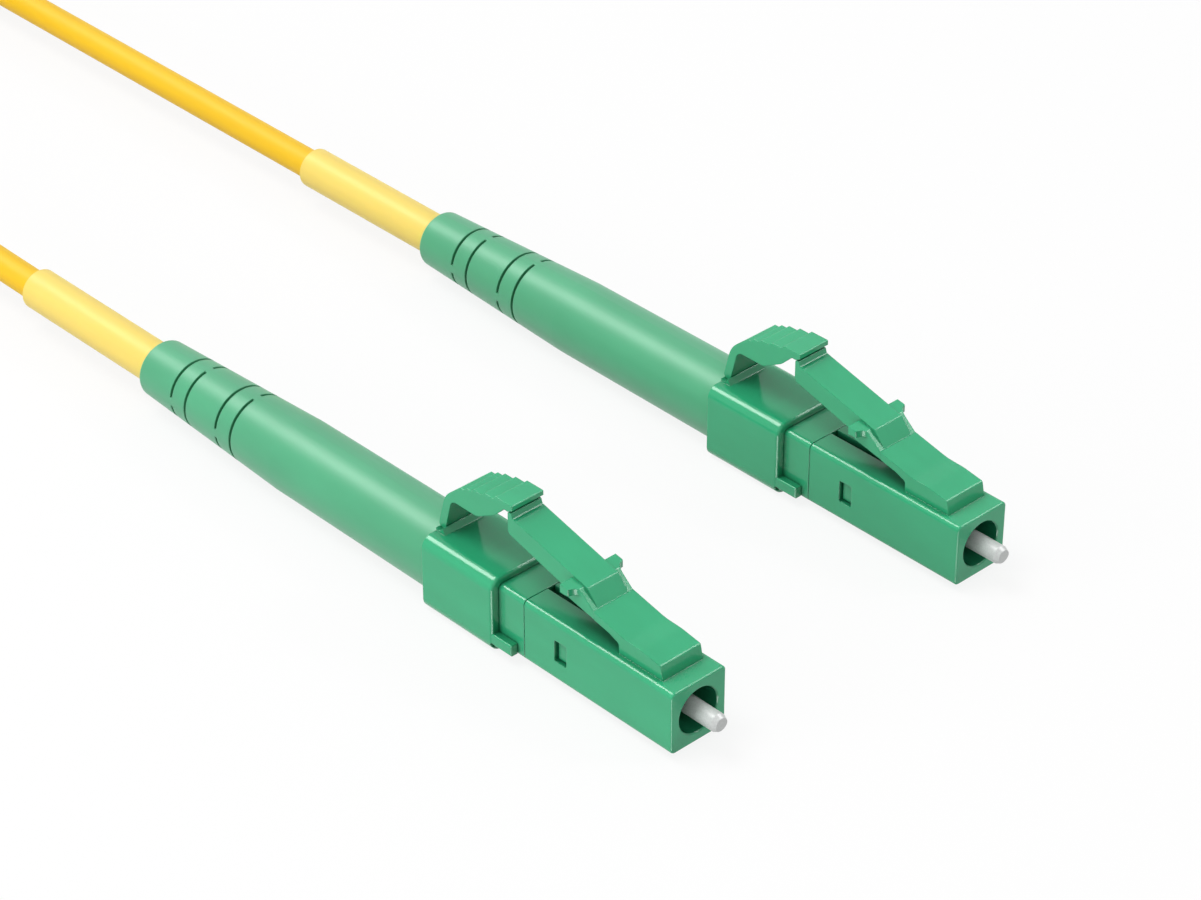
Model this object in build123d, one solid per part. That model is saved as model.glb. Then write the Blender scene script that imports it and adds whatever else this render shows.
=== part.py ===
from build123d import *
import math
import os

# Fibre patch cord: two equal plugs side by side, joined by one thin cable.
# Millimetres. +X is the way the plugs are pushed in, +Z is up.
# Each plug is drawn with its front face at x = 0 and the ferrule's axis on x,
# and "back" always means a distance behind that front face.

# Cord and layout
plug_spacing = 25.0
cord_length = 1000.0
cable_diameter = 2.2

# How far a cut runs past the surface that it opens
cut_past = 1.0

# Front housing
housing_width = 4.5
housing_length = 12.93
housing_edge_radius = 0.36
housing_front_radius = 0.13
bore_diameter = 3.16
bore_depth = 4.4
bore_rim = 0.08
seat_thickness = 0.5
seat_hole_diameter = 2.1
cavity_width = 3.5
cavity_corner_radius = 0.3
window_to_seam = 3.76
window_length = 1.07
window_height = 1.58
window_corner_radius = 0.12
key_slot_width = 0.6
key_slot_length = 5.2

# Latch moulded on top of the front housing
latch_width = 3.3
latch_front_back = 1.38
latch_front_rise = 1.0
latch_front_rake = 0.22
latch_corner_radius = 0.14
latch_brow_back = 3.2
latch_brow_rise = 1.24
latch_saddle_back = 4.6
latch_saddle_rise = 1.28
latch_curve_radius = 4.0
latch_root_back = 5.15
latch_root_radius = 0.32
latch_hinge_back = 5.5
latch_thickness = 0.52
latch_step_back = 7.42
latch_step_rise = 1.89
latch_step_run = 0.9
shoulder_run = 1.2
ear_width = 4.6
ear_front_back = 8.95
ear_length = 0.7
ear_top_rise = 3.07
ear_fall = 0.17
ear_thickness = 0.6
ear_blend_radius = 0.6
ear_corner_radius = 0.12
tongue_width = 2.5
tongue_rise = 2.94
tongue_slope = 13.7
tongue_thickness = 1.34
tongue_overhang = 0.18
ear_underside_rise = 1.8
tongue_end_radius = 0.4
tail_thickness = 0.42
tail_rise = 0.25
tail_corner_radius = 0.15

# Rear body
seam_gap = 0.05
nose_length = 4.0
nose_clearance = 0.03
tab_proud = 0.27
tab_ramp = 0.08
tab_clearance = 0.12
barrel_bore_diameter = 2.84
body_show_length = 2.34

# Clip that slides over the rear body
collar_length = 6.48
collar_width = 5.74
collar_height = 5.5
collar_edge_radius = 0.85
collar_front_radius = 0.22
collar_clearance = 0.03
rail_length = 1.7
rail_width = 0.55
rail_top = -1.24
rail_height = 0.81
rail_edge_radius = 0.12
relief_radius = 0.2
ledge_width = 3.3
ledge_length = 0.62
ledge_slope = 0.25
ledge_rise = 0.42

# Trigger of the clip
trigger_width = 2.6
strap_thickness = 0.62
strap_rise = 2.24
strap_lean = 14.0
strap_bend_radius = 2.1
strap_inner_radius = 0.62
hinge_overhang = 0.06
hinge_rise = 0.13
pad_slope_length = 1.95
pad_slope = 41.0
tooth_lengths = [0.6, 0.68, 0.97, 1.05]
tooth_rise = 0.2425
tooth_rake = 0.24
tooth_corner_radius = 0.04
lip_overlap = 0.45
lip_thickness = 0.36
lip_rake_length = 0.38
lip_rake_rise = 0.21
lip_underside_length = 0.37
lip_gap = 0.03
belly_rise = 2.64
belly_radius = 1.1
chin_length = 0.85
chin_fall = 0.87
chin_run = 1.65

# Hinges moulded into the clip and the latch
knuckle_clearance = 0.03
knuckle_lip = 0.07

# Ferrule group
ferrule_diameter = 1.25
ferrule_reach = 1.95
ferrule_length = 7.9
ferrule_tip_chamfer = 0.16
ferrule_tip_length = 0.35
ferrule_tip_angle = 8.0
ferrule_travel = 1.0
glue_gap = 0.01
glue_groove_length = 0.6
glue_groove_depth = 0.17
flange_across_flats = 2.5
flange_length = 1.45
flange_neck_diameter = 1.9
flange_neck_length = 0.45
flange_stem_diameter = 1.4
flange_stem_length = 3.0
spring_wire = 0.28
spring_turns = 4
spring_wire_sides = 4
spring_clearance = 0.05
spring_end_gap = 0.02

# Inner barrel
barrel_front_back = 8.0
barrel_clearance = 0.03
barrel_bottom_thickness = 8.15
fibre_clearance = 0.12
stem_diameter = 2.3
stem_length = 5.2

# Cable end and strain relief
buffer_diameter = 0.9
yarn_thickness = 0.15
crimp_thickness = 0.25
crimp_length = 7.0
crimp_clearance = 0.02
jacket_front_behind_stem = 0.45
sleeve_diameter = 3.0
sleeve_front_behind_stem = 2.65
sleeve_show_length = 14.0
boot_length = 30.1
boot_front_diameter = 5.5
boot_straight_length = 15.45
boot_kink_diameter = 5.38
boot_end_diameter = 4.16
boot_end_radius = 0.22
boot_clearance = 0.04
boot_slots_from_end = [10.35, 8.75, 5.3, 3.75]
boot_slot_width = 0.24
boot_slot_floor = 0.25
boot_bridge_width = 0.6

# Route of the cable from the sleeves to the coil: the near one climbs, the far one lies down
near_lift_lengths = [13.0, 27.0, 41.0]
near_lift_rises = [0.1, 1.5]
near_side_step = 0.3
near_coil_steps = [0.4, 1.0]
near_landing_drop = 0.7
far_drop_lengths = [40.0, 49.5]
far_drop_sag = 0.03
far_side_step = 1.7
far_coil_step = 1.8
far_settle_rise = 0.2
coil_lead_length = 6.0
route_bend_share = 0.45

# Coil of the length that is put away
coil_behind_sleeve = 60.15
coil_mean_diameter = 25.2
coil_turns_wide = 3
coil_layers = 4

# Worked out from the values above
housing_half = housing_width / 2
axis_height = collar_height / 2
window_front_back = housing_length - window_to_seam
collar_front_back = housing_length + body_show_length
collar_end_back = collar_front_back + collar_length
stem_end_back = collar_end_back + stem_length
jacket_front_back = stem_end_back + jacket_front_behind_stem
sleeve_front_back = stem_end_back + sleeve_front_behind_stem
boot_kink_back = collar_end_back + boot_straight_length
boot_end_back = collar_end_back + boot_length
sleeve_end_back = boot_end_back + sleeve_show_length
coil_back = sleeve_end_back + coil_behind_sleeve
front_face_x = (ferrule_reach + sleeve_end_back) / 2 - ferrule_reach
barrel_outer = barrel_bore_diameter - 2 * barrel_clearance
barrel_shoulder_back = collar_end_back - barrel_bottom_thickness
flange_front_back = bore_depth + seat_thickness + spring_end_gap
flange_end_back = flange_front_back + flange_length
spring_inner = flange_stem_diameter + 2 * spring_clearance
spring_outer = spring_inner + 2 * spring_wire
fibre_hole = buffer_diameter + fibre_clearance
yarn_outer = stem_diameter + 2 * (crimp_clearance + yarn_thickness)
crimp_inner = yarn_outer + 2 * crimp_clearance
crimp_outer = crimp_inner + 2 * crimp_thickness
latch_back_slope = (latch_step_rise - latch_saddle_rise) / (latch_step_back - latch_saddle_back)
latch_hinge_run = latch_hinge_back - latch_saddle_back
latch_hinge_top = housing_half + latch_saddle_rise + latch_hinge_run * latch_back_slope
latch_hinge_height = latch_hinge_top - latch_thickness / 2
ear_end_back = ear_front_back + ear_length
step_top_back = latch_step_back + latch_step_run
tongue_end_back = collar_front_back + tongue_overhang
tongue_climb = math.tan(math.radians(tongue_slope))
tongue_end_top = housing_half + tongue_rise + (tongue_end_back - step_top_back) * tongue_climb
tail_top = tongue_end_top + tail_rise


def tube(back_from, back_to, outer, inner=0.0):
    """A round bar or tube on the plug's axis between two distances back."""
    length = back_to - back_from
    middle = Pos(-(back_from + back_to) / 2, 0, 0) * Rot(0, 90, 0)
    body = middle * Cylinder(outer / 2, length)
    if inner:
        body -= middle * Cylinder(inner / 2, length)
    return body


def block(back_from, back_to, width, low, high, centre_y=0.0):
    """A square block between two distances back and two heights."""
    return Pos(-(back_from + back_to) / 2, centre_y, (low + high) / 2) * Box(
        back_to - back_from, width, high - low
    )


def side_plate(points, width):
    """A plate of the given width whose side outline is a list of (back, height, corner radius)."""
    corners = [(-back, height) for back, height, radius in points]
    radii = [radius for back, height, radius in points]
    outline = FilletPolyline(*corners, radius=radii, close=True)
    return extrude(Plane.XZ * make_face(outline), width / 2, both=True)


def knuckle(back, height, diameter, width):
    """A round bar across the plug, used for a hinge and for its pocket."""
    return Pos(-back, 0, height) * Rot(90, 0, 0) * Cylinder(diameter / 2, width)


def square_bar(back_from, back_to, width, height, edge_radius):
    """A square bar along the plug with its four long edges rounded."""
    bar = block(back_from, back_to, width, -height / 2, height / 2)
    return fillet(bar.edges().filter_by(Axis.X), edge_radius)


def make_front_housing():
    body = square_bar(0, housing_length, housing_width, housing_width, housing_edge_radius)
    body = fillet(body.faces().sort_by(Axis.X)[-1].edges(), housing_front_radius)
    body -= tube(-cut_past, bore_depth, bore_diameter)
    rim = Pos(bore_rim, 0, 0) * Rot(0, -90, 0) * Cone(
        bore_diameter / 2 + 2 * bore_rim, bore_diameter / 2, 2 * bore_rim,
        align=(Align.CENTER, Align.CENTER, Align.MIN),
    )
    body -= rim
    cavity_front = bore_depth + seat_thickness
    body -= tube(0, cavity_front + cut_past, seat_hole_diameter)
    body -= square_bar(
        cavity_front, housing_length + cut_past, cavity_width, cavity_width, cavity_corner_radius
    )
    window = block(
        window_front_back, window_front_back + window_length,
        2 * housing_width, -window_height / 2, window_height / 2,
    )
    body -= fillet(window.edges().filter_by(Axis.Y), window_corner_radius)
    body -= block(
        housing_length - key_slot_length, housing_length + cut_past,
        key_slot_width, cavity_width / 4, housing_half + cut_past,
    )
    # Root of the latch, with a round seat for the lever's bend
    base = housing_half - seat_thickness / 2
    under = latch_hinge_height - latch_thickness / 2 - knuckle_clearance - knuckle_lip
    root = side_plate(
        [
            (latch_front_back, base, 0),
            (latch_front_back, housing_half, 0),
            (latch_front_back + latch_front_rake, housing_half + latch_front_rise, latch_corner_radius),
            (latch_brow_back, housing_half + latch_brow_rise, latch_curve_radius),
            (latch_saddle_back, housing_half + latch_saddle_rise, latch_curve_radius),
            (latch_hinge_back, latch_hinge_top, 0),
            (latch_hinge_back, under, 0),
            (latch_root_back, under, latch_root_radius),
            (latch_root_back, base, 0),
        ],
        latch_width,
    )
    seat = latch_thickness + 2 * knuckle_clearance
    return body + (root - knuckle(latch_hinge_back, latch_hinge_height, seat, housing_width))


def make_latch_lever():
    half = latch_thickness / 2
    step_low = housing_half + latch_step_rise
    ear_top = housing_half + ear_top_rise
    ear_low = ear_top - ear_thickness
    ear_under = housing_half + ear_underside_rise
    shoulder = (latch_step_back + shoulder_run, ear_top - ear_fall, ear_corner_radius)
    # Wide part, from the hinge to the ears
    wide = side_plate(
        [
            (latch_hinge_back, latch_hinge_top, 0),
            (latch_step_back, step_low, ear_corner_radius),
            shoulder,
            (ear_end_back, ear_top, 0),
            (ear_end_back, ear_under, 0),
            (latch_hinge_back, latch_hinge_height - half, 0),
        ],
        latch_width,
    )
    wide += knuckle(latch_hinge_back, latch_hinge_height, latch_thickness, latch_width)
    # Ears that catch in the socket, with a hollow curve in front of each
    slope_share = (ear_low - step_low) / (shoulder[1] - step_low)
    ears = side_plate(
        [
            (latch_step_back + shoulder_run * slope_share, ear_low, 0),
            shoulder,
            (ear_end_back, ear_top, 0),
            (ear_end_back, ear_low, 0),
        ],
        ear_width,
    )
    outer, inner = ear_width / 2, latch_width / 2
    plan = FilletPolyline(
        (-ear_end_back, outer), (-ear_front_back, outer), (-ear_front_back, inner),
        (-latch_step_back, inner), (-latch_step_back, -inner),
        (-ear_front_back, -inner), (-ear_front_back, -outer), (-ear_end_back, -outer),
        radius=[
            0, ear_corner_radius, ear_blend_radius, 0,
            0, ear_blend_radius, ear_corner_radius, 0,
        ],
        close=True,
    )
    ears = ears & extrude(make_face(plan), 2 * ear_top)
    # Narrow tongue, rising to the tail that the trigger presses
    tail_front_back = tongue_end_back - tail_thickness
    tongue = side_plate(
        [
            (latch_step_back, step_low, 0),
            (step_top_back, housing_half + tongue_rise, tooth_corner_radius),
            (tail_front_back, tongue_end_top - tail_thickness * tongue_climb, tail_corner_radius),
            (tail_front_back + latch_front_rake / 2, tail_top, tail_corner_radius / 2),
            (tongue_end_back, tail_top, tail_corner_radius),
            (tongue_end_back, tongue_end_top - tongue_thickness, tongue_end_radius),
            (ear_end_back, ear_under, 0),
            (latch_step_back, step_low - half, 0),
        ],
        tongue_width,
    )
    return wide + ears + tongue


def make_rear_body():
    start = housing_length + seam_gap
    end = collar_end_back - seam_gap
    body = square_bar(start, end, housing_width, housing_width, housing_edge_radius)
    nose_width = cavity_width - 2 * nose_clearance
    nose_front = housing_length - nose_length
    body += square_bar(nose_front, start + cut_past, nose_width, nose_width, cavity_corner_radius)
    # Snap tabs that show in the housing's windows
    tab_half = window_height / 2 - tab_clearance
    tab_front = window_front_back + tab_clearance
    tab_end = window_front_back + window_length - tab_clearance
    for side in (-1, 1):
        tab = block(tab_front, tab_end, 2 * tab_proud, -tab_half, tab_half, side * nose_width / 2)
        outer = tab.faces().sort_by(Axis.Y)[0 if side < 0 else -1]
        ramp = outer.edges().sort_by(Axis.X)[-1]
        body += chamfer(ramp, tab_ramp)
    body -= tube(0, collar_end_back + cut_past, barrel_bore_diameter)
    body -= block(nose_front - cut_past, start, key_slot_width, 0, cavity_width)
    return body


def make_inner_barrel():
    body = tube(barrel_front_back, collar_end_back - seam_gap, barrel_outer)
    body += tube(collar_end_back - cut_past, stem_end_back, stem_diameter)
    body -= tube(
        barrel_front_back - cut_past, barrel_shoulder_back, spring_outer + 2 * spring_clearance
    )
    body -= tube(barrel_front_back, stem_end_back + cut_past, fibre_hole)
    return body


def make_clip_collar():
    body = square_bar(
        collar_front_back, collar_end_back, collar_width, collar_height, collar_edge_radius
    )
    body = fillet(body.faces().sort_by(Axis.X)[-1].edges(), collar_front_radius)
    hole = housing_width + 2 * collar_clearance
    body -= square_bar(
        collar_front_back - cut_past, collar_end_back + cut_past, hole, hole, housing_edge_radius
    )
    rail_y = hole / 2 + rail_width / 2
    for side in (-1, 1):
        rail = block(
            collar_front_back - rail_length, collar_front_back + cut_past / 2, rail_width,
            rail_top - rail_height, rail_top, side * rail_y,
        )
        rail = fillet(
            rail.faces().sort_by(Axis.Y)[0 if side < 0 else -1].edges(), rail_edge_radius
        )
        body += rail
    # Small relief where each rail meets the collar
    relief = knuckle(
        collar_front_back, rail_top - rail_height - relief_radius / 2,
        2 * relief_radius, 2 * collar_width,
    )
    body -= relief - block(
        collar_front_back - cut_past, collar_front_back + cut_past,
        hole + rail_width, -collar_height, 0,
    )
    # Ledge that carries the trigger, with a round seat for its bend
    hinge_back, hinge_height = trigger_hinge()
    sunk = collar_height / 2 - (collar_height - hole) / 3
    ledge_front_back = collar_end_back - ledge_length
    body += side_plate(
        [
            (collar_end_back, sunk, 0),
            (collar_end_back, collar_height / 2 + ledge_rise, tooth_corner_radius),
            (ledge_front_back, collar_height / 2 + ledge_rise, tooth_corner_radius),
            (ledge_front_back - ledge_slope, collar_height / 2, 0),
            (ledge_front_back - ledge_slope, sunk, 0),
        ],
        ledge_width,
    )
    seat = strap_thickness + 2 * knuckle_clearance
    return body - knuckle(hinge_back, hinge_height, seat, 2 * ledge_width)


def trigger_hinge():
    """Where the trigger's strap bends: distance back and height."""
    back = collar_end_back - strap_thickness / 2 + hinge_overhang
    height = collar_height / 2 + strap_thickness / 2 + hinge_rise
    return back, height


def make_clip_trigger():
    hinge_back, hinge_height = trigger_hinge()
    lean = math.radians(strap_lean)
    half = strap_thickness / 2
    outer_foot = (hinge_back + half * math.cos(lean), hinge_height + half * math.sin(lean))
    inner_foot = (hinge_back - half * math.cos(lean), hinge_height - half * math.sin(lean))
    bend = (outer_foot[0] - strap_rise * math.tan(lean), outer_foot[1] + strap_rise)
    # Outside: up the strap, over the bend and along the stepped pad
    slope = math.radians(pad_slope)
    back = bend[0] - pad_slope_length * math.cos(slope)
    height = bend[1] + pad_slope_length * math.sin(slope)
    points = [(*outer_foot, 0), (*bend, strap_bend_radius), (back, height, tooth_corner_radius)]
    for length in tooth_lengths:
        points.append((back - length + tooth_rake, height, tooth_corner_radius))
        back, height = back - length, height + tooth_rise
        points.append((back, height, tooth_corner_radius))
    # Lip over the latch's tail, then back along the belly to the strap
    lip_front_back = tongue_end_back - lip_overlap
    lip_under = tail_top + lip_gap
    lip_brow = lip_under + lip_rake_rise
    lip_end_back = lip_front_back + lip_rake_length + lip_underside_length
    belly = collar_height / 2 + belly_rise
    inner_back = inner_foot[0] - (belly - inner_foot[1]) * math.tan(lean)
    points += [
        (lip_front_back, lip_brow + lip_thickness, 2 * tooth_corner_radius),
        (lip_front_back, lip_brow, tooth_corner_radius),
        (lip_front_back + lip_rake_length, lip_under, 2 * tooth_corner_radius),
        (lip_end_back, lip_under, 3 * tooth_corner_radius),
        (lip_end_back + chin_length, lip_under - chin_fall, belly_radius),
        (lip_end_back + chin_length + chin_run, belly, belly_radius),
        (inner_back, belly, strap_inner_radius),
        (*inner_foot, 0),
    ]
    body = side_plate(points, trigger_width)
    return body + knuckle(hinge_back, hinge_height, strap_thickness, trigger_width)


def make_ferrule():
    front = -ferrule_reach
    body = tube(front, front + ferrule_length, ferrule_diameter)
    tip = body.faces().sort_by(Axis.X)[-1].edges()
    body = chamfer(tip, ferrule_tip_length, ferrule_tip_chamfer)
    side = 2 * ferrule_diameter
    angled = Pos(ferrule_reach, 0, 0) * Rot(0, ferrule_tip_angle, 0)
    body -= angled * Pos(side / 2, 0, 0) * Box(side, side, side)
    groove_start = flange_front_back - flange_neck_length - spring_end_gap
    groove_end = groove_start + glue_groove_length
    groove_floor = ferrule_diameter - 2 * glue_groove_depth
    return body - tube(groove_start, groove_end, 2 * ferrule_diameter, groove_floor)


def make_ferrule_flange():
    hexagon = RegularPolygon(flange_across_flats / 2, 6, major_radius=False)
    body = Pos(-flange_end_back, 0, 0) * Rot(0, 90, 0) * extrude(hexagon, flange_length)
    middle = flange_front_back + flange_length / 2
    stem_end = flange_end_back + flange_stem_length
    body += tube(flange_front_back - flange_neck_length, middle, flange_neck_diameter)
    body += tube(middle, stem_end, flange_stem_diameter)
    body -= tube(0, ferrule_length - ferrule_reach + glue_gap, ferrule_diameter + 2 * glue_gap)
    body -= tube(0, stem_end + cut_past, fibre_hole)
    return body


def make_spring():
    front = flange_end_back + spring_end_gap
    length = barrel_shoulder_back - spring_end_gap - front - spring_wire
    middle = (spring_inner + spring_outer) / 4
    line = Helix(length / spring_turns, length, middle)
    section = RegularPolygon(spring_wire / 2, spring_wire_sides)
    section = Plane(origin=line @ 0, z_dir=line % 0) * section
    coil = sweep(section, path=line, is_frenet=True)
    return Pos(-(front + length + spring_wire / 2), 0, 0) * Rot(0, 90, 0) * coil


def make_buffered_fibre():
    front = ferrule_length - ferrule_reach + ferrule_travel + fibre_clearance
    return tube(front, jacket_front_back - fibre_clearance, buffer_diameter)


def make_strength_yarn():
    front = collar_end_back + 2 * seam_gap
    return tube(front, stem_end_back, yarn_outer, stem_diameter + 2 * crimp_clearance)


def make_crimp_sleeve():
    front = collar_end_back + seam_gap
    return tube(front, front + crimp_length, crimp_outer, crimp_inner)


def make_cable_end():
    return tube(jacket_front_back, sleeve_end_back, cable_diameter)


def make_cable_sleeve():
    return tube(
        sleeve_front_back, sleeve_end_back, sleeve_diameter, cable_diameter + 2 * glue_gap
    )


def make_boot():
    front = collar_end_back + boot_clearance / 2
    inner = sleeve_diameter / 2 + boot_clearance
    wide = crimp_outer / 2 + boot_clearance
    step = sleeve_front_back - fibre_clearance
    outline = Polyline(
        (-front, wide), (-front, boot_front_diameter / 2),
        (-boot_kink_back, boot_kink_diameter / 2), (-boot_end_back, boot_end_diameter / 2),
        (-boot_end_back, inner), (-step, inner), (-step, wide), (-front, wide),
    )
    body = revolve(Plane.XZ * make_face(outline), Axis.X)
    end_edges = body.edges().filter_by(GeomType.CIRCLE).group_by(Axis.X)[0]
    body = fillet(end_edges.sort_by(SortBy.RADIUS)[-1], boot_end_radius)
    # Rings of slots: bridges above and below, then at the sides, and so on
    floor = 2 * (inner + boot_slot_floor)
    for number, from_end in enumerate(boot_slots_from_end):
        back = boot_end_back - from_end
        ring = tube(
            back - boot_slot_width / 2, back + boot_slot_width / 2, boot_front_diameter, floor
        )
        turn = 90 * (number % 2)
        ring -= Rot(turn, 0, 0) * Pos(-back, 0, 0) * Box(
            2 * boot_slot_width, boot_bridge_width, 2 * boot_front_diameter
        )
        body -= ring
    return body


def plug_pieces():
    """Every piece of one plug, by name, in the plug's own frame."""
    return {
        "front_housing": make_front_housing(),
        "latch_lever": make_latch_lever(),
        "rear_body": make_rear_body(),
        "inner_barrel": make_inner_barrel(),
        "clip_collar": make_clip_collar(),
        "clip_trigger": make_clip_trigger(),
        "ferrule": make_ferrule(),
        "ferrule_flange": make_ferrule_flange(),
        "ferrule_spring": make_spring(),
        "buffered_fibre": make_buffered_fibre(),
        "strength_yarn": make_strength_yarn(),
        "crimp_sleeve": make_crimp_sleeve(),
        "strain_boot": make_boot(),
        "cable_sleeve": make_cable_sleeve(),
        "cable_end": make_cable_end(),
    }


def route_tube(points):
    """A round tube along straight runs joined by arcs as large as the runs allow."""
    corners = [Vector(*point) for point in points]
    radii = []
    for before, at, after in zip(corners, corners[1:], corners[2:]):
        turn = math.radians((at - before).get_angle(after - at))
        shorter = min((at - before).length, (after - at).length)
        radii.append(route_bend_share * shorter / math.tan(turn / 2))
    path = FilletPolyline(*points, radius=radii)
    section = Plane(origin=path @ 0, z_dir=path % 0) * Circle(cable_diameter / 2)
    body = sweep(section, path=path)
    expected = math.pi * cable_diameter**2 / 4 * path.length
    print("tube length", round(path.length, 2), "radii", [round(radius, 1) for radius in radii])
    print("tube volume", round(body.volume, 2), "section times length", round(expected, 2))
    return body, path.length


def make_cord():
    """The two stretches that leave the sleeves and the coil between them."""
    start = front_face_x - sleeve_end_back
    side = plug_spacing / 2
    lying = cable_diameter / 2
    coil_x = front_face_x - coil_back
    layer_rise = cable_diameter * math.sin(math.radians(60))
    top_layer = lying + (coil_layers - 1) * layer_rise
    coil_radius = coil_mean_diameter / 2
    lift, climb, landing = near_lift_lengths
    near_points = [
        (start, -side, axis_height),
        (start - lift, -side, axis_height + near_lift_rises[0]),
        (start - climb, -side - near_side_step, axis_height + near_lift_rises[1]),
        (start - landing, -coil_radius - near_coil_steps[0], top_layer - near_landing_drop),
        (coil_x + coil_lead_length, -coil_radius - near_coil_steps[1], top_layer),
    ]
    drop, settle = far_drop_lengths
    far_points = [
        (start, side, axis_height),
        (start - drop, side, axis_height - far_drop_sag),
        (start - settle, side + far_side_step, lying + far_settle_rise),
        (coil_x + coil_lead_length, coil_radius + far_coil_step, lying),
    ]
    near, near_length = route_tube(near_points)
    far, far_length = route_tube(far_points)
    half_wide = coil_turns_wide * cable_diameter / 2
    outline = Polyline(
        (coil_radius - half_wide, 0), (coil_radius + half_wide, 0),
        (coil_radius + half_wide, top_layer + lying), (coil_radius - half_wide, top_layer + lying),
        close=True,
    )
    coil = Pos(coil_x, 0, 0) * revolve(Plane.XZ * make_face(outline), Axis.Z)
    in_coil = cord_length - 2 * sleeve_end_back - near_length - far_length
    turns = in_coil / math.pi / coil_mean_diameter
    print("length in the coil", round(in_coil, 1), "turns", round(turns, 2))
    return {"cable_tube_a": near, "cable_tube_b": far, "cable_coil": coil}


os.makedirs("parts", exist_ok=True)
for letter, side in (("a", -1), ("b", 1)):
    place = Pos(front_face_x, side * plug_spacing / 2, axis_height)
    for name, piece in plug_pieces().items():
        export_step(place * piece, f"parts/{name}_{letter}.step")
for name, piece in make_cord().items():
    export_step(piece, f"parts/{name}.step")
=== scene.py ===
import math

import bmesh
import bpy
from bpy.props import FloatProperty, FloatVectorProperty, IntProperty, PointerProperty
from mathutils import Matrix, Vector


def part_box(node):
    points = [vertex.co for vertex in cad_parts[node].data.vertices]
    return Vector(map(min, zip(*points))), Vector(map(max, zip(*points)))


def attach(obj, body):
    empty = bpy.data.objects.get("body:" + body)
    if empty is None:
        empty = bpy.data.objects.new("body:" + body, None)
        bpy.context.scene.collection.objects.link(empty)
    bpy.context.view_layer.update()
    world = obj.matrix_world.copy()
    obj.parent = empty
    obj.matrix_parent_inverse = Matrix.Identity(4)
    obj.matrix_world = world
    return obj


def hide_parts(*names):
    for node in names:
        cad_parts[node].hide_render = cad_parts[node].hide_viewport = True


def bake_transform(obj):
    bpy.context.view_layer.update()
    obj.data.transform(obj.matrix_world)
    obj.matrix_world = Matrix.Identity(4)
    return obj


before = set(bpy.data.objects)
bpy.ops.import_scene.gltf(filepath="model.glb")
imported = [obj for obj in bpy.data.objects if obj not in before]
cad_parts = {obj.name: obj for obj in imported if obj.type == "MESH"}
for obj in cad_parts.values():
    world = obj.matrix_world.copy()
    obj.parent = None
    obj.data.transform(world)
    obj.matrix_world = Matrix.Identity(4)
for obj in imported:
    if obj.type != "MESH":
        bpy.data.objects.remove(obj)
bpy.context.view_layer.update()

bl_info = {
    "name": "Fibre patch cord",
    "version": (1, 0, 0),
    "blender": (4, 5, 0),
    "location": "View3D > Sidebar > Patch cord",
    "description": "Dresses a single-fibre patch cord: its cable, mouldings, boots, ferrules and studio",
    "category": "Object",
}

MM = 0.001
ENDS = ("a", "b")
SIDE_OF = {"a": -1, "b": 1}
FIXED_BODY = "cord"

# The plug's own measures, read from the frame
SLEEVE_LOW, SLEEVE_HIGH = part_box("cable_sleeve_a")
HOUSING_LOW, HOUSING_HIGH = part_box("front_housing_a")
FRONT_X = HOUSING_HIGH.x
PLUG_SIDE = -(HOUSING_LOW.y + HOUSING_HIGH.y) / 2
AXIS_Z = (SLEEVE_LOW.z + SLEEVE_HIGH.z) / 2
SLEEVE_END_X = SLEEVE_LOW.x
CABLE_DIAMETER = 2.2 * MM
COIL_X = FRONT_X - 126.0 * MM
# Turns that lie in the hollows of the layer below stand this much higher, in cable diameters
LAYER_RISE = math.sin(math.radians(60))


class CableSizes(bpy.types.PropertyGroup):
    """Sizes and colours of the yellow cable and its coil."""
    diameter: FloatProperty(
        name="Cable diameter", description="Outer diameter of the jacket",
        default=CABLE_DIAMETER, unit="LENGTH", precision=4,
    )
    coil_radius: FloatProperty(
        name="Coil radius", description="Radius at the middle of the coil's turns",
        default=12.6 * MM, unit="LENGTH", precision=4,
    )
    coil_points: IntProperty(
        name="Points in a turn", description="Control points in each turn of the coil",
        default=16, min=12,
    )
    jacket_colour: FloatVectorProperty(
        name="Jacket", description="Colour of the cable's jacket",
        default=(0.94, 0.575, 0.016), subtype="COLOR", size=3, min=0, max=1,
    )
    sleeve_colour: FloatVectorProperty(
        name="Sleeve", description="Colour of the tubing over the cable's end",
        default=(0.95, 0.72, 0.165), subtype="COLOR", size=3, min=0, max=1,
    )


class LatchSizes(bpy.types.PropertyGroup):
    """Sizes of the skin that carries the latch's moulding over its bend."""
    width: FloatProperty(
        name="Latch width", description="Width of the latch's root and lever",
        default=3.3 * MM, unit="LENGTH", precision=4,
    )
    cover: FloatProperty(
        name="Skin", description="How far the skin stands over the pieces below",
        default=0.012 * MM, unit="LENGTH", precision=6,
    )
    wall_back: FloatProperty(
        name="Root's rear wall", description="Distance of the root's rear wall behind the front face",
        default=5.15 * MM, unit="LENGTH", precision=4,
    )
    bend_back: FloatProperty(
        name="Bend", description="Distance of the bend behind the front face",
        default=5.5 * MM, unit="LENGTH", precision=4,
    )


class SpringSizes(bpy.types.PropertyGroup):
    """Sizes of the spring behind each ferrule."""
    wire: FloatProperty(
        name="Wire", description="Diameter of the spring's wire", default=0.28 * MM,
        unit="LENGTH", precision=5,
    )
    turns: IntProperty(
        name="Turns", description="Number of turns, with the closed one at each end", default=9,
        min=3,
    )


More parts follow.
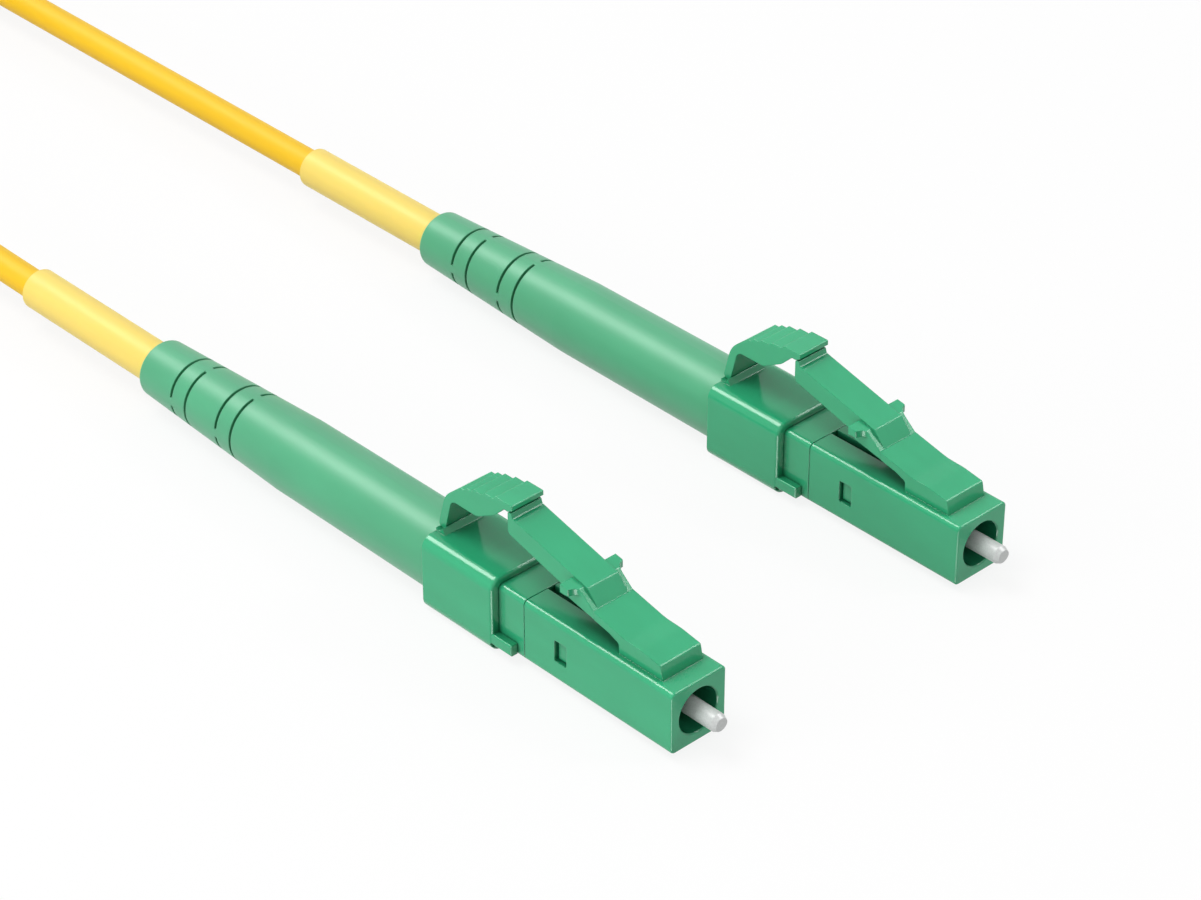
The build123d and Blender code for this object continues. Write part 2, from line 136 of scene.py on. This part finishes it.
class PlugColours(bpy.types.PropertyGroup):
    """Colours of the plug's pieces."""
    moulding: FloatVectorProperty(
        name="Mouldings", description="Green of the housing, clip and latch",
        default=(0.032, 0.44, 0.205), subtype="COLOR", size=3, min=0, max=1,
    )
    boot: FloatVectorProperty(
        name="Boot", description="Green of the soft strain boot",
        default=(0.068, 0.40, 0.20), subtype="COLOR", size=3, min=0, max=1,
    )
    # Painted shade: the inner barrel is a real piece, coloured near black to stand in for the shade seen
    # through the slot in the housing.
    barrel: FloatVectorProperty(
        name="Barrel", description="Colour of the dark inner barrel",
        default=(0.012, 0.02, 0.014), subtype="COLOR", size=3, min=0, max=1,
    )
    ceramic: FloatVectorProperty(
        name="Ferrule", description="Colour of the ceramic ferrule",
        default=(0.60, 0.62, 0.61), subtype="COLOR", size=3, min=0, max=1,
    )
    metal: FloatVectorProperty(
        name="Metal", description="Colour of the crimp sleeve, spring and flange",
        default=(0.62, 0.60, 0.56), subtype="COLOR", size=3, min=0, max=1,
    )


class StudioSettings(bpy.types.PropertyGroup):
    """The camera, lamps and floor."""
    camera_place: FloatVectorProperty(
        name="Camera place", description="Where the camera stands, from the front face of plug a",
        default=(125.68 * MM, -126.15 * MM, 138.37 * MM), subtype="TRANSLATION", size=3,
    )
    camera_azimuth: FloatProperty(
        name="Azimuth", description="Compass angle of the view", default=math.radians(46.774),
        subtype="ANGLE",
    )
    camera_height: FloatProperty(
        name="Elevation", description="Angle that the view looks down at",
        default=math.radians(33.923), subtype="ANGLE",
    )
    focal_length: FloatProperty(
        name="Focal length", description="Lens for a 36 mm wide sensor", default=113.27,
        unit="CAMERA",
    )
    floor_colour: FloatVectorProperty(
        name="Floor", description="Colour of the plain floor", default=(0.95, 0.95, 0.95),
        subtype="COLOR", size=3, min=0, max=1,
    )
    bounce_colour: FloatVectorProperty(
        name="Floor bounce", description="How much light the floor gives back to the plugs",
        default=(0.42, 0.42, 0.42), subtype="COLOR", size=3, min=0, max=1,
    )
    key_power: FloatProperty(
        name="Key lamp", description="Power of the large soft lamp above", default=1.5,
        unit="POWER", precision=3,
    )
    fill_power: FloatProperty(
        name="Fill lamp", description="Power of the large soft lamp beside the plugs", default=1.2,
        unit="POWER", precision=3,
    )
    rim_power: FloatProperty(
        name="Rim lamp", description="Power of the small lamp behind", default=0.35,
        unit="POWER", precision=3,
    )
    edge_power: FloatProperty(
        name="Edge lamps", description="Power of the lamps that only show as glints on edges",
        default=1.9, unit="POWER", precision=3,
    )
    sky_strength: FloatProperty(
        name="Sky", description="Strength of the even white surroundings", default=0.55,
    )


def new_material(name):
    """A new node material, with its node tree and its surface shader."""
    material = bpy.data.materials.new(name)
    material.use_nodes = True
    tree = material.node_tree
    shader = tree.nodes["Principled BSDF"]
    return material, tree, shader


def seen_directly(tree):
    """One for rays that show a surface: straight from the camera, mirrored or let through."""
    path = tree.nodes.new("ShaderNodeLightPath")
    mirrored = tree.nodes.new("ShaderNodeMath")
    mirrored.operation = "MAXIMUM"
    tree.links.new(path.outputs["Is Glossy Ray"], mirrored.inputs[0])
    tree.links.new(path.outputs["Is Transmission Ray"], mirrored.inputs[1])
    either = tree.nodes.new("ShaderNodeMath")
    either.operation = "MAXIMUM"
    tree.links.new(path.outputs["Is Camera Ray"], either.inputs[0])
    tree.links.new(mirrored.outputs["Value"], either.inputs[1])
    return either.outputs["Value"]


def add_noise(tree, scale, detail=3.0, stretch=(1, 1, 1)):
    """A noise texture in the object's own metres, so that it stays put when pieces move."""
    place = tree.nodes.new("ShaderNodeTexCoord")
    mapping = tree.nodes.new("ShaderNodeMapping")
    mapping.inputs["Scale"].default_value = stretch
    noise = tree.nodes.new("ShaderNodeTexNoise")
    noise.inputs["Scale"].default_value = scale
    noise.inputs["Detail"].default_value = detail
    tree.links.new(place.outputs["Object"], mapping.inputs["Vector"])
    tree.links.new(mapping.outputs["Vector"], noise.inputs["Vector"])
    return noise


def tint(tree, colour, noise, spread):
    """A colour that varies a little with a noise, from darker to lighter."""
    ramp = tree.nodes.new("ShaderNodeValToRGB")
    low = [channel * (1 - spread) for channel in colour]
    high = [min(1.0, channel * (1 + spread)) for channel in colour]
    ramp.color_ramp.elements[0].position = 0.3
    ramp.color_ramp.elements[0].color = (*low, 1)
    ramp.color_ramp.elements[1].position = 0.7
    ramp.color_ramp.elements[1].color = (*high, 1)
    tree.links.new(noise.outputs["Fac"], ramp.inputs["Fac"])
    return ramp


def shade_hollows(tree, colour, reach, depth):
    """Darkens a colour in corners and under overhangs, where little light gets in."""
    hollow = tree.nodes.new("ShaderNodeAmbientOcclusion")
    hollow.samples = 8
    hollow.inputs["Distance"].default_value = reach
    lift = tree.nodes.new("ShaderNodeMapRange")
    lift.inputs["From Min"].default_value = 0.25
    lift.inputs["From Max"].default_value = 0.93
    lift.inputs["To Min"].default_value = depth
    mix = tree.nodes.new("ShaderNodeVectorMath")
    mix.operation = "SCALE"
    tree.links.new(hollow.outputs["AO"], lift.inputs["Value"])
    tree.links.new(colour, mix.inputs[0])
    tree.links.new(lift.outputs["Result"], mix.inputs["Scale"])
    return mix.outputs["Vector"]


def vary_roughness(tree, shader, noise, low, high):
    """Roughness that wanders between two values."""
    spread = tree.nodes.new("ShaderNodeMapRange")
    spread.inputs["To Min"].default_value = low
    spread.inputs["To Max"].default_value = high
    tree.links.new(noise.outputs["Fac"], spread.inputs["Value"])
    tree.links.new(spread.outputs["Result"], shader.inputs["Roughness"])


def add_bump(tree, shader, height, strength, distance, edge=0.0):
    """Surface relief from a texture's height, with edges softened over a small radius."""
    bump = tree.nodes.new("ShaderNodeBump")
    if edge:
        soft_edge = tree.nodes.new("ShaderNodeBevel")
        soft_edge.samples = 6
        soft_edge.inputs["Radius"].default_value = edge
        tree.links.new(soft_edge.outputs["Normal"], bump.inputs["Normal"])
    bump.inputs["Strength"].default_value = strength
    bump.inputs["Distance"].default_value = distance
    tree.links.new(height, bump.inputs["Height"])
    tree.links.new(bump.outputs["Normal"], shader.inputs["Normal"])


def moulded_plastic(
    name, colour, roughness=(0.12, 0.17), grain=9000, relief=0.003 * MM, hollows=0.4
):
    """Satin moulded plastic: a fine grain, faint flow marks and a little light under the skin."""
    material, tree, shader = new_material(name)
    flow = add_noise(tree, 450, 2.0, (0.35, 1, 1))
    skin = tint(tree, colour, flow, 0.045).outputs["Color"]
    # Painted shade: an occlusion node darkens the base colour in corners, creases and under overhangs.
    tree.links.new(shade_hollows(tree, skin, 4.0 * MM, hollows), shader.inputs["Base Color"])
    fine = add_noise(tree, grain, 4.0)
    vary_roughness(tree, shader, fine, *roughness)
    add_bump(tree, shader, fine.outputs["Fac"], 0.03, relief, 0.09 * MM)
    shader.inputs["Specular IOR Level"].default_value = 0.42
    shader.inputs["Subsurface Weight"].default_value = 0.12
    shader.inputs["Subsurface Scale"].default_value = 0.4 * MM
    shader.inputs["Subsurface Radius"].default_value = (0.4, 1.0, 0.6)
    return material


def soft_boot(name, colour):
    """Soft moulded boot: matt, with a slightly cloudy skin."""
    # The last figure keeps the boot's painted shade in its hollows light.
    material = moulded_plastic(name, colour, (0.38, 0.46), 6000, 0.01 * MM, 0.8)
    shader = material.node_tree.nodes["Principled BSDF"]
    shader.inputs["Specular IOR Level"].default_value = 0.56
    shader.inputs["Sheen Weight"].default_value = 0.12
    shader.inputs["Sheen Roughness"].default_value = 0.5
    return material


def cable_jacket(name, colour, grain=5000, roughness=(0.46, 0.58)):
    """Extruded jacket: drawn out along its length, with a soft gloss."""
    material, tree, shader = new_material(name)
    drawn = add_noise(tree, 700, 3.0, (0.08, 1, 1))
    tree.links.new(tint(tree, colour, drawn, 0.03).outputs["Color"], shader.inputs["Base Color"])
    fine = add_noise(tree, grain, 3.0, (0.3, 1, 1))
    vary_roughness(tree, shader, fine, *roughness)
    add_bump(tree, shader, fine.outputs["Fac"], 0.1, 0.005 * MM)
    shader.inputs["Specular IOR Level"].default_value = 0.3
    shader.inputs["Subsurface Weight"].default_value = 0.15
    shader.inputs["Subsurface Scale"].default_value = 0.4 * MM
    shader.inputs["Subsurface Radius"].default_value = (1.0, 0.7, 0.25)
    return material


def ground_ceramic(name, colour):
    """Finely ground zirconia: bright and hard, with a close speckle."""
    material, tree, shader = new_material(name)
    speckle = add_noise(tree, 11000, 3.0)
    tree.links.new(tint(tree, colour, speckle, 0.1).outputs["Color"], shader.inputs["Base Color"])
    vary_roughness(tree, shader, speckle, 0.32, 0.5)
    add_bump(tree, shader, speckle.outputs["Fac"], 0.12, 0.004 * MM, 0.05 * MM)
    shader.inputs["IOR"].default_value = 1.9
    return material


def drawn_metal(name, colour):
    """Plain drawn or turned metal with fine marks round it."""
    material, tree, shader = new_material(name)
    marks = add_noise(tree, 6000, 3.0, (1, 0.1, 0.1))
    tree.links.new(tint(tree, colour, marks, 0.06).outputs["Color"], shader.inputs["Base Color"])
    vary_roughness(tree, shader, marks, 0.25, 0.4)
    add_bump(tree, shader, marks.outputs["Fac"], 0.08, 0.003 * MM)
    shader.inputs["Metallic"].default_value = 1.0
    return material


def loose_yarn(name, colour):
    """Golden yarn with its threads along the plug."""
    material, tree, shader = new_material(name)
    threads = add_noise(tree, 9000, 2.0, (0.03, 1, 1))
    tree.links.new(tint(tree, colour, threads, 0.18).outputs["Color"], shader.inputs["Base Color"])
    vary_roughness(tree, shader, threads, 0.5, 0.8)
    add_bump(tree, shader, threads.outputs["Fac"], 0.5, 0.02 * MM)
    shader.inputs["Sheen Weight"].default_value = 0.4
    return material


def round_corners(corners, steps=5):
    """A closed outline from (across, up, radius) corners, with an arc at each rounded one."""
    outline = []
    count = len(corners)
    for index, (across, up, radius) in enumerate(corners):
        here = Vector((across, up))
        before = Vector(corners[index - 1][:2]) - here
        after = Vector(corners[(index + 1) % count][:2]) - here
        if radius == 0:
            outline.append(here)
            continue
        # The arc touches both sides at this distance from the corner
        half = before.angle(after) / 2
        reach = radius / math.tan(half)
        first, last = here + before.normalized() * reach, here + after.normalized() * reach
        centre = here + (before.normalized() + after.normalized()).normalized() * radius / math.sin(half)
        turn = (first - centre).angle_signed(last - centre)
        for step in range(steps + 1):
            spoke = (first - centre).copy()
            spoke.rotate(Matrix.Rotation(-turn * step / steps, 2))
            outline.append(centre + spoke)
    return outline


def split_long_runs(outline, longest):
    """Adds points so that no run of the outline is longer than a limit."""
    points = []
    for index, here in enumerate(outline):
        after = outline[(index + 1) % len(outline)]
        parts = max(1, math.ceil((after - here).length / longest))
        points += [here.lerp(after, part / parts) for part in range(parts)]
    return points


def finished_mesh(name, vertices, faces):
    """A linked mesh object whose faces all look outward."""
    mesh = bpy.data.meshes.new(name)
    mesh.from_pydata(vertices, [], faces)
    mesh.validate()
    shape = bmesh.new()
    shape.from_mesh(mesh)
    bmesh.ops.recalc_face_normals(shape, faces=shape.faces)
    shape.to_mesh(mesh)
    shape.free()
    piece = bpy.data.objects.new(name, mesh)
    bpy.context.collection.objects.link(piece)
    return piece


def side_prism(name, outline, width, centre_y):
    """A plate from a (back, height) outline on a plug, of a given width."""
    vertices, faces = [], []
    count = len(outline)
    for side in (-1, 1):
        for point in outline:
            vertices.append((FRONT_X - point.x, centre_y + side * width / 2, AXIS_Z + point.y))
    faces.append(tuple(range(count)))
    faces.append(tuple(reversed(range(count, 2 * count))))
    for index in range(count):
        after = (index + 1) % count
        faces.append((after, index, index + count, after + count))
    return finished_mesh(name, vertices, faces)


def spring_line(share, turns, length, wire):
    """Distance along the spring at a share of its winding, with a closed turn at each end."""
    turn = share * turns
    pitch = (length - 3 * wire) / (turns - 2)
    open_turns = min(max(turn - 1, 0), turns - 2)
    closed_turns = turn - open_turns
    return wire / 2 + closed_turns * wire + open_turns * pitch


def wound_spring(name, front, length, centre_y, radius, wire, turns, steps=20, sides=8):
    """A mesh of round wire wound about a plug's axis, from its front face backwards."""
    vertices, faces = [], []
    rings = turns * steps + 1
    for ring in range(rings):
        share = ring / (rings - 1)
        angle = 2 * math.pi * turns * share
        outward = Vector((0, math.cos(angle), math.sin(angle)))
        centre = Vector((front - spring_line(share, turns, length, wire), centre_y, AXIS_Z))
        centre += outward * radius
        for side in range(sides):
            around = 2 * math.pi * side / sides
            spoke = outward * math.cos(around) + Vector((1, 0, 0)) * math.sin(around)
            vertices.append(centre + spoke * wire / 2)
    for ring in range(rings - 1):
        for side in range(sides):
            after = (side + 1) % sides
            low, high = ring * sides, (ring + 1) * sides
            faces.append((low + side, low + after, high + after, high + side))
    faces.append(tuple(range(sides)))
    faces.append(tuple(reversed(range((rings - 1) * sides, rings * sides))))
    return finished_mesh(name, vertices, faces)


def dress(node, material):
    """Gives a carried-over node its material."""
    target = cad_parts[node]
    target.data.materials.clear()
    target.data.materials.append(material)


class CORD_OT_studio(bpy.types.Operator):
    """Sets up the camera, the lamps and the plain pale floor"""
    bl_idname = "patchcord.studio"
    bl_label = "Studio"

    def execute(self, context):
        settings = context.scene.cord_studio
        self.add_camera(context, settings)
        self.add_floor(settings)
        self.add_soft_lamp("key_lamp", (-0.15, -0.18, 0.552), settings.key_power)
        self.add_soft_lamp("fill_lamp", (-0.18, -0.558, 0.12), settings.fill_power)
        self.add_lamp("rim_lamp", (0.335, 0.341, 0.363), 0.1, settings.rim_power)
        self.add_glint_lamp("long_edge_lamp", (-0.363, -0.103, 0.467), 0.24, settings.edge_power)
        self.add_glint_lamp("top_edge_lamp", (0.109, 0.341, 0.482), 0.3, settings.edge_power)
        self.add_glint_lamp("side_edge_lamp", (0.341, -0.363, -0.335), 0.3, settings.edge_power)
        self.light_world(context, settings)
        context.scene.view_settings.view_transform = "Standard"
        return {"FINISHED"}

    def add_camera(self, context, settings):
        """The camera at the photograph's viewing angle."""
        turn, height = settings.camera_azimuth, settings.camera_height
        right = Vector((math.cos(turn), math.sin(turn), 0))
        ahead = Vector((
            -math.sin(turn) * math.cos(height),
            math.cos(turn) * math.cos(height),
            -math.sin(height),
        ))
        up = right.cross(ahead)
        data = bpy.data.cameras.new("camera")
        data.lens = settings.focal_length
        data.sensor_width = 36
        data.sensor_fit = "HORIZONTAL"
        data.clip_start = 0.01
        camera = bpy.data.objects.new("camera", data)
        context.collection.objects.link(camera)
        place = Vector(settings.camera_place) + Vector((FRONT_X, -PLUG_SIDE, AXIS_Z))
        turned = Matrix((right, up, -ahead)).transposed().to_4x4()
        camera.matrix_world = Matrix.Translation(place) @ turned
        context.scene.camera = camera

    def add_floor(self, settings):
        """A wide flat floor that looks white to the camera and keeps a soft shadow."""
        half = 3.0
        mesh = bpy.data.meshes.new("floor")
        corners = [(-half, -half, 0), (half, -half, 0), (half, half, 0), (-half, half, 0)]
        mesh.from_pydata(corners, [], [(0, 1, 2, 3)])
        floor = bpy.data.objects.new("floor", mesh)
        bpy.context.collection.objects.link(floor)
        material, tree, shader = new_material("pale_floor")
        shader.inputs["Base Color"].default_value = (*settings.bounce_colour, 1)
        shader.inputs["Roughness"].default_value = 0.9
        seen = tree.nodes.new("ShaderNodeBsdfDiffuse")
        seen.inputs["Color"].default_value = (*settings.floor_colour, 1)
        glow = tree.nodes.new("ShaderNodeEmission")
        glow.inputs["Color"].default_value = (1, 1, 1, 1)
        glow.inputs["Strength"].default_value = 1.0
        lit = tree.nodes.new("ShaderNodeMixShader")
        # Mostly an even white glow, with just enough of the lit floor to show a shadow
        lit.inputs["Fac"].default_value = 0.86
        tree.links.new(seen.outputs["BSDF"], lit.inputs[1])
        tree.links.new(glow.outputs["Emission"], lit.inputs[2])
        mix = tree.nodes.new("ShaderNodeMixShader")
        tree.links.new(seen_directly(tree), mix.inputs["Fac"])
        tree.links.new(shader.outputs["BSDF"], mix.inputs[1])
        tree.links.new(lit.outputs["Shader"], mix.inputs[2])
        tree.links.new(mix.outputs["Shader"], tree.nodes["Material Output"].inputs["Surface"])
        mesh.materials.append(material)
        floor.visible_glossy = False
        floor.visible_shadow = False

    def add_lamp(self, name, place, size, power):
        """A square softbox that looks at the plugs."""
        data = bpy.data.lights.new(name, "AREA")
        data.shape = "SQUARE"
        data.size = size
        data.energy = power
        lamp = bpy.data.objects.new(name, data)
        bpy.context.collection.objects.link(lamp)
        lamp.location = place
        aim = Vector((0, 0, 0)) - Vector(place)
        lamp.rotation_euler = aim.to_track_quat("-Z", "Y").to_euler()
        return lamp

    def add_soft_lamp(self, name, place, power):
        """A softbox that lights the faces and leaves the glints to the other lamps."""
        lamp = self.add_lamp(name, place, 0.3, power)
        lamp.visible_glossy = False

    def add_glint_lamp(self, name, place, size, power):
        """A softbox that gives glints on rounded edges and adds no light to the faces."""
        lamp = self.add_lamp(name, place, size, power)
        lamp.visible_diffuse = False
        lamp.visible_transmission = False

    def light_world(self, context, settings):
        """Even white surroundings that the camera sees as plain white."""
        world = bpy.data.worlds.new("surroundings")
        context.scene.world = world
        world.use_nodes = True
        tree = world.node_tree
        soft = tree.nodes["Background"]
        soft.inputs["Color"].default_value = (1, 1, 1, 1)
        soft.inputs["Strength"].default_value = settings.sky_strength
        plain = tree.nodes.new("ShaderNodeBackground")
        plain.inputs["Color"].default_value = (1, 1, 1, 1)
        plain.inputs["Strength"].default_value = 1.0
        mix = tree.nodes.new("ShaderNodeMixShader")
        output = tree.nodes["World Output"]
        tree.links.new(seen_directly(tree), mix.inputs["Fac"])
        tree.links.new(soft.outputs["Background"], mix.inputs[1])
        tree.links.new(plain.outputs["Background"], mix.inputs[2])
        tree.links.new(mix.outputs["Shader"], output.inputs["Surface"])


def coil_slots(radius, diameter):
    """Where each turn lies, from the top layer down: its radius, height and number of turns."""
    rise = diameter * LAYER_RISE
    lying = diameter / 2
    heights = [lying + layer * rise for layer in range(4)]
    half, whole = diameter / 2, diameter
    return [
        (radius + half, heights[3], 0.5),
        (radius - half, heights[3], 1.0),
        (radius - whole, heights[2], 1.0),
        (radius, heights[2], 1.0),
        (radius + whole, heights[2], 1.0),
        (radius + half, heights[1], 1.0),
        (radius - half, heights[1], 1.0),
        (radius - whole, heights[0], 1.0),
        (radius, heights[0], 1.0),
        (radius + whole, heights[0], 1.0),
    ]


def place_in_coil(turns, slots):
    """Radius and height of the cable after some turns, changing smoothly from slot to slot."""
    # Share of a turn, before and after its end, in which the cable crosses to the next slot
    ramp = 0.16
    done = 0.0
    for index, (radius, height, length) in enumerate(slots):
        end = done + length
        if turns <= end + ramp or index == len(slots) - 1:
            share = 0.0
            if index + 1 < len(slots) and turns > end - ramp:
                step = (turns - end + ramp) / (2 * ramp)
                share = step * step * (3 - 2 * step)
            next_radius, next_height, _ = slots[min(index + 1, len(slots) - 1)]
            return radius + share * (next_radius - radius), height + share * (next_height - height)
        done = end
    return slots[-1][0], slots[-1][1]


def coil_points(sizes):
    """Control points of the coil's turns, clockwise from the side of plug a."""
    slots = coil_slots(sizes.coil_radius, sizes.diameter)
    total = sum(length for _, _, length in slots)
    count = round(total * sizes.coil_points)
    step = 2 * math.pi / sizes.coil_points
    # The curve runs a little inside its control points, so they stand further out
    outward = 8 / (6 + 2 * math.cos(step))
    points = []
    for index in range(1, count):
        turns = index / sizes.coil_points
        radius, height = place_in_coil(turns, slots)
        angle = -math.pi / 2 - 2 * math.pi * turns
        points.append((
            COIL_X + radius * outward * math.cos(angle),
            radius * outward * math.sin(angle),
            height,
        ))
    return points


def cable_route(sizes):
    """The route's points, listed at both ends and by the coil's loop between them."""
    start = SLEEVE_END_X
    side = PLUG_SIDE
    lying = sizes.diameter / 2
    radius = sizes.coil_radius
    top_layer = lying + 3 * sizes.diameter * LAYER_RISE
    near = [
        (start, -side, AXIS_Z),
        (start - 13.0 * MM, -side, AXIS_Z + 0.1 * MM),
        (start - 27.0 * MM, -side - 0.3 * MM, AXIS_Z + 1.5 * MM),
        (start - 41.0 * MM, -radius - 0.4 * MM, top_layer - 0.7 * MM),
        (COIL_X + 6.0 * MM, -radius - 1.0 * MM, top_layer),
    ]
    far = [
        (start, side, AXIS_Z),
        (start - 20.0 * MM, side, AXIS_Z - 0.01 * MM),
        (start - 36.0 * MM, side, AXIS_Z - 0.02 * MM),
        (start - 40.0 * MM, side, AXIS_Z - 0.03 * MM),
        (start - 49.5 * MM, side + 1.7 * MM, lying + 0.2 * MM),
        (COIL_X + 6.0 * MM, radius + 1.8 * MM, lying),
    ]
    return near + coil_points(sizes) + list(reversed(far))


class CORD_OT_cable(bpy.types.Operator):
    """Lays the yellow cable from one plug through its coil to the other"""
    bl_idname = "patchcord.cable"
    bl_label = "Cable"

    def execute(self, context):
        sizes = context.scene.cord_cable
        route = cable_route(sizes)
        curve = bpy.data.curves.new("patch_cable", "CURVE")
        curve.dimensions = "3D"
        spline = curve.splines.new("NURBS")
        spline.points.add(len(route) - 1)
        for point, place in zip(spline.points, route):
            point.co = (*place, 1)
        spline.order_u = 3
        spline.use_endpoint_u = True
        spline.resolution_u = 6
        curve.bevel_depth = sizes.diameter / 2
        curve.bevel_resolution = 5
        cable = bpy.data.objects.new("patch_cable", curve)
        context.collection.objects.link(cable)
        curve.materials.append(cable_jacket("yellow_jacket", sizes.jacket_colour))
        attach(cable, FIXED_BODY)
        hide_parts("cable_tube_a", "cable_tube_b", "cable_coil")
        return {"FINISHED"}


class CORD_OT_sleeves(bpy.types.Operator):
    """Finishes the tubing over the cable's ends and what it holds"""
    bl_idname = "patchcord.sleeves"
    bl_label = "Sleeves and cable ends"

    def execute(self, context):
        sizes = context.scene.cord_cable
        tubing = cable_jacket("pale_tubing", sizes.sleeve_colour, 4000, (0.34, 0.5))
        jacket = cable_jacket("jacket_end", sizes.jacket_colour)
        buffer_skin = cable_jacket("white_buffer", (0.85, 0.85, 0.83))
        for end in ENDS:
            dress(f"cable_sleeve_{end}", tubing)
            dress(f"cable_end_{end}", jacket)
            dress(f"buffered_fibre_{end}", buffer_skin)
        return {"FINISHED"}


class CORD_OT_mouldings(bpy.types.Operator):
    """Finishes the green housings, clips and boots"""
    bl_idname = "patchcord.mouldings"
    bl_label = "Mouldings"

    def execute(self, context):
        colours = context.scene.cord_plug
        green = moulded_plastic("green_moulding", colours.moulding)
        boot = soft_boot("green_boot", colours.boot)
        for end in ENDS:
            for piece in ("front_housing", "latch_lever", "rear_body", "clip_collar", "clip_trigger"):
                dress(f"{piece}_{end}", green)
            dress(f"strain_boot_{end}", boot)
        return {"FINISHED"}


class CORD_OT_latch_skin(bpy.types.Operator):
    """Carries the latch's moulding over its bend in one smooth skin"""
    bl_idname = "patchcord.latch_skin"
    bl_label = "Latch skin"

    def execute(self, context):
        sizes = context.scene.cord_latch
        green = bpy.data.materials["green_moulding"]
        cover, wall, bend = sizes.cover, sizes.wall_back, sizes.bend_back
        # Back from the front face, height above the axis and rounding, from the foot round the top
        corners = [
            (1.38 * MM - cover, 2.23 * MM, 0),
            (1.60 * MM - cover, 3.25 * MM + cover, 0.14 * MM),
            (3.20 * MM, 3.49 * MM + cover, 4.0 * MM),
            (4.60 * MM, 3.53 * MM + cover, 4.0 * MM),
            (7.42 * MM, 4.14 * MM + cover, 0),
            (7.30 * MM, 3.57 * MM - cover, 0),
            (bend + 0.50 * MM, 3.303 * MM - cover, 1.2 * MM),
            (bend, 3.10 * MM - cover, 0.4 * MM),
            (wall + cover, 3.02 * MM - cover, 0.3 * MM),
            (wall + cover, 2.23 * MM, 0),
        ]
        outline = split_long_runs(round_corners(corners), 0.3 * MM)
        for end in ENDS:
            centre_y = SIDE_OF[end] * PLUG_SIDE
            skin = side_prism(f"latch_skin_{end}", outline, sizes.width + 2 * cover, centre_y)
            skin.data.materials.append(green)
            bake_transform(skin)
        return {"FINISHED"}


class CORD_OT_inner_pieces(bpy.types.Operator):
    """Finishes the ferrules and the pieces inside the plugs"""
    bl_idname = "patchcord.inner_pieces"
    bl_label = "Ferrules and inner pieces"

    def execute(self, context):
        colours = context.scene.cord_plug
        ceramic = ground_ceramic("zirconia", colours.ceramic)
        metal = drawn_metal("drawn_metal", colours.metal)
        # Painted shade: the barrel's near-black colour stands in for the shade inside the housing's
        # slot.
        dark = moulded_plastic("barrel_shade_moulding", colours.barrel)
        yarn = loose_yarn("aramid_yarn", (0.8, 0.62, 0.2))
        for end in ENDS:
            dress(f"ferrule_{end}", ceramic)
            dress(f"inner_barrel_{end}", dark)
            dress(f"strength_yarn_{end}", yarn)
            for piece in ("ferrule_flange", "crimp_sleeve"):
                dress(f"{piece}_{end}", metal)
        return {"FINISHED"}


class CORD_OT_springs(bpy.types.Operator):
    """Winds the springs that the ferrules are pushed back against"""
    bl_idname = "patchcord.springs"
    bl_label = "Springs"

    def execute(self, context):
        sizes = context.scene.cord_spring
        metal = bpy.data.materials["drawn_metal"]
        for end in ENDS:
            low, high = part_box(f"ferrule_spring_{end}")
            centre_y = SIDE_OF[end] * PLUG_SIDE
            radius = (high.z - low.z - sizes.wire) / 2
            spring = wound_spring(
                f"wound_spring_{end}", high.x, high.x - low.x, centre_y, radius, sizes.wire, sizes.turns,
            )
            spring.data.shade_smooth()
            spring.data.materials.append(metal)
            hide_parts(f"ferrule_spring_{end}")
            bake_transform(spring)
        return {"FINISHED"}


class CORD_PT_panel(bpy.types.Panel):
    """Lists the patch cord's settings and steps"""
    bl_idname = "CORD_PT_panel"
    bl_label = "Patch cord"
    bl_space_type = "VIEW_3D"
    bl_region_type = "UI"
    bl_category = "Patch cord"

    def draw(self, context):
        scene = context.scene
        for setting in SETTINGS:
            group = getattr(scene, setting)
            box = self.layout.box()
            for name in group.__annotations__:
                box.prop(group, name)
        for operator in OPERATORS:
            self.layout.operator(operator.bl_idname)


SETTINGS = {
    "cord_cable": CableSizes, "cord_latch": LatchSizes, "cord_spring": SpringSizes,
    "cord_plug": PlugColours, "cord_studio": StudioSettings,
}
OPERATORS = (
    CORD_OT_studio, CORD_OT_cable, CORD_OT_sleeves, CORD_OT_mouldings, CORD_OT_latch_skin,
    CORD_OT_inner_pieces, CORD_OT_springs,
)


def register():
    for kind in (*SETTINGS.values(), *OPERATORS, CORD_PT_panel):
        bpy.utils.register_class(kind)
    for name, kind in SETTINGS.items():
        setattr(bpy.types.Scene, name, PointerProperty(type=kind))


def unregister():
    for name in SETTINGS:
        delattr(bpy.types.Scene, name)
    for kind in reversed((*SETTINGS.values(), *OPERATORS, CORD_PT_panel)):
        bpy.utils.unregister_class(kind)


def main():
    register()
    bpy.ops.patchcord.studio()
    bpy.ops.patchcord.cable()
    bpy.ops.patchcord.sleeves()
    bpy.ops.patchcord.mouldings()
    bpy.ops.patchcord.latch_skin()
    bpy.ops.patchcord.inner_pieces()
    bpy.ops.patchcord.springs()


if __name__ == "__main__":
    main()
